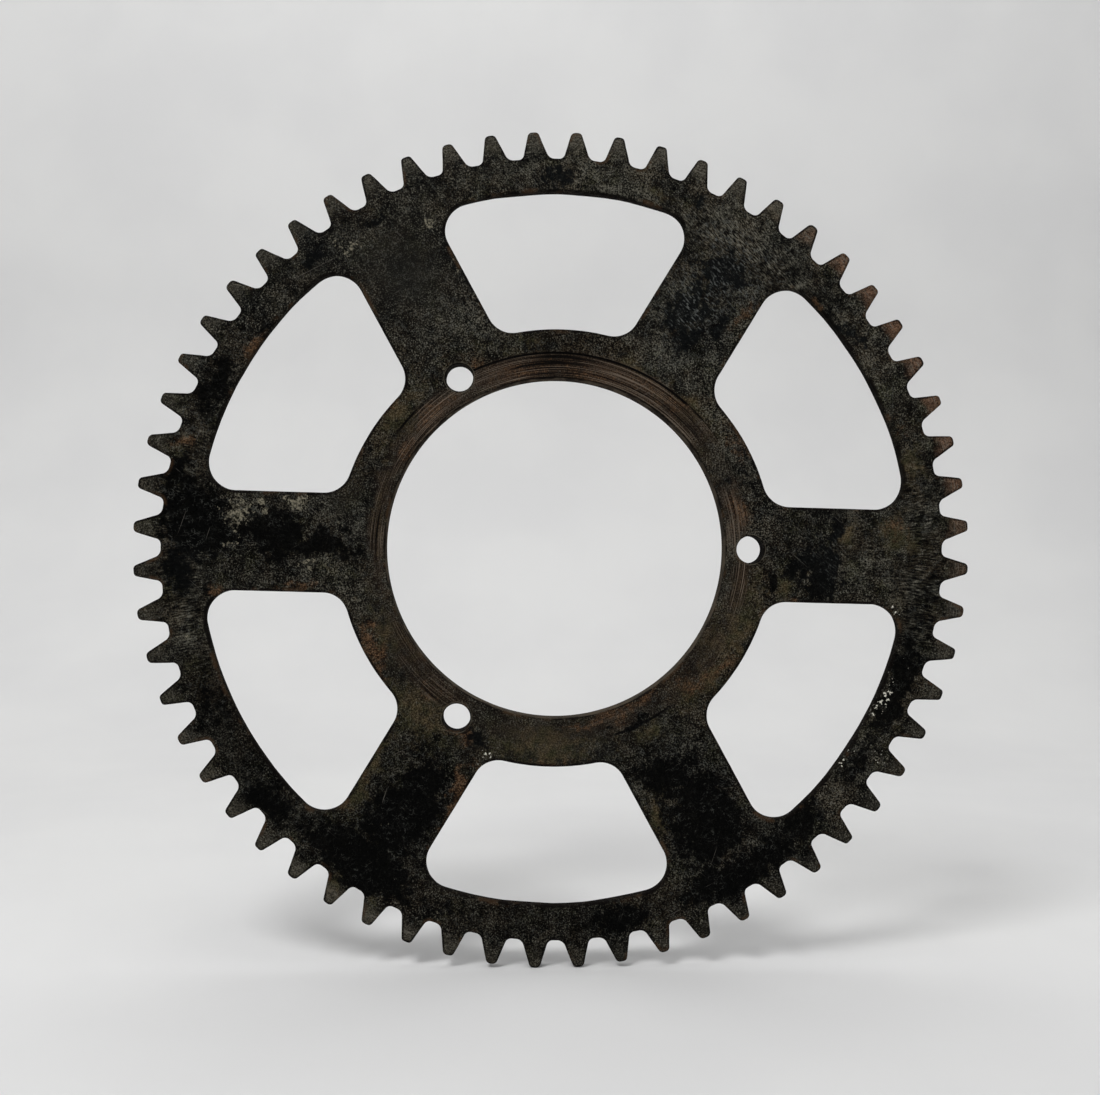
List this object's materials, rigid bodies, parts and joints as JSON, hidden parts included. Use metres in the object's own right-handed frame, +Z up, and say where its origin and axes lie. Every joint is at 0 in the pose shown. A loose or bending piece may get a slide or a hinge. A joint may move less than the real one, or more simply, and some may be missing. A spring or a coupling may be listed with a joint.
{
  "type": "rear sprocket",
  "caption": "Flat one-piece rear sprocket for a small motorcycle, with roller-chain teeth, lightening windows, a large centre bore and bolt holes.",
  "frame": {"origin": "on the bore's centreline, halfway through the plate's thickness", "axes": "+Y along the bore, from the face with the turned register towards the plain face; +X through one bolt hole; +Z up"},
  "size_m": [0.2516, 0.006, 0.2516],
  "materials": {
    "oxidised_steel": "old dark oxide and chain grime, rust-brown in places, satin where oily, rough elsewhere"
  },
  "bodies": {
    "root": {"sprocket": "oxidised_steel"}
  },
  "joints": []
}
